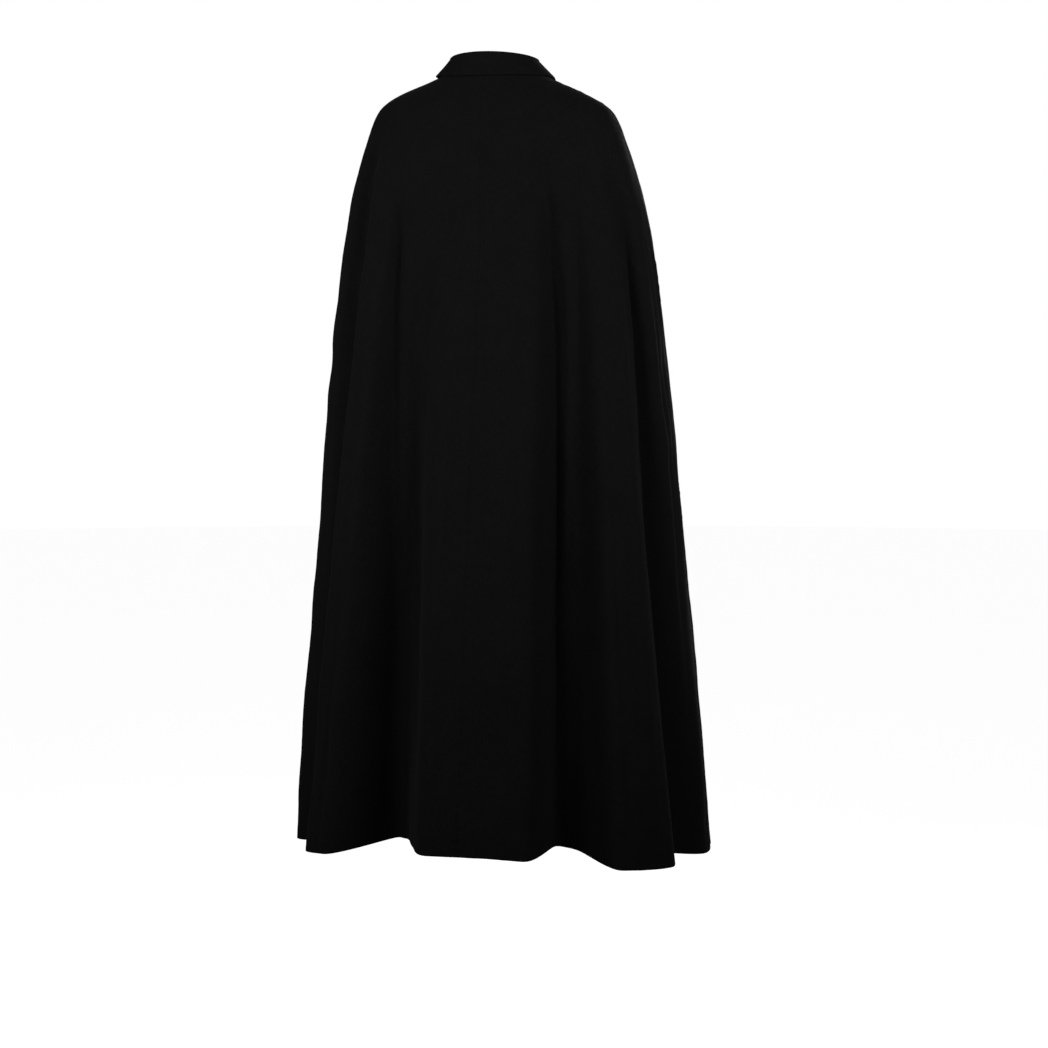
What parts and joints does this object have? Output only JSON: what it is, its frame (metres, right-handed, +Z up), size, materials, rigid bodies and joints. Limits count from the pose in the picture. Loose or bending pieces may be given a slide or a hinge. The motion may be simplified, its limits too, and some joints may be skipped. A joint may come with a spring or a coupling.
{
  "type": "wool cloak",
  "caption": "Long wool cloak in the shape it hangs when worn, open at neck and hem, with deep soft folds, a turned-down collar and a button fastening at the throat.",
  "frame": {"origin": "centre of the neck opening, level with the collar's edge on the shoulders, where the wearer's neck and shoulders carry the cloak", "axes": "+Z up along the wearer's neck, -Y towards the wearer's front, +X towards the wearer's left"},
  "size_m": [0.6966, 0.532, 1.3108],
  "materials": {
    "wool": "near-black wool melton, soft matte nap",
    "button": "black horn-look button, satin"
  },
  "bodies": {
    "root": {"back_left": "wool", "back_right": "wool", "front_left": "wool", "front_right": "wool", "collar": "wool", "button": "button"}
  },
  "joints": []
}
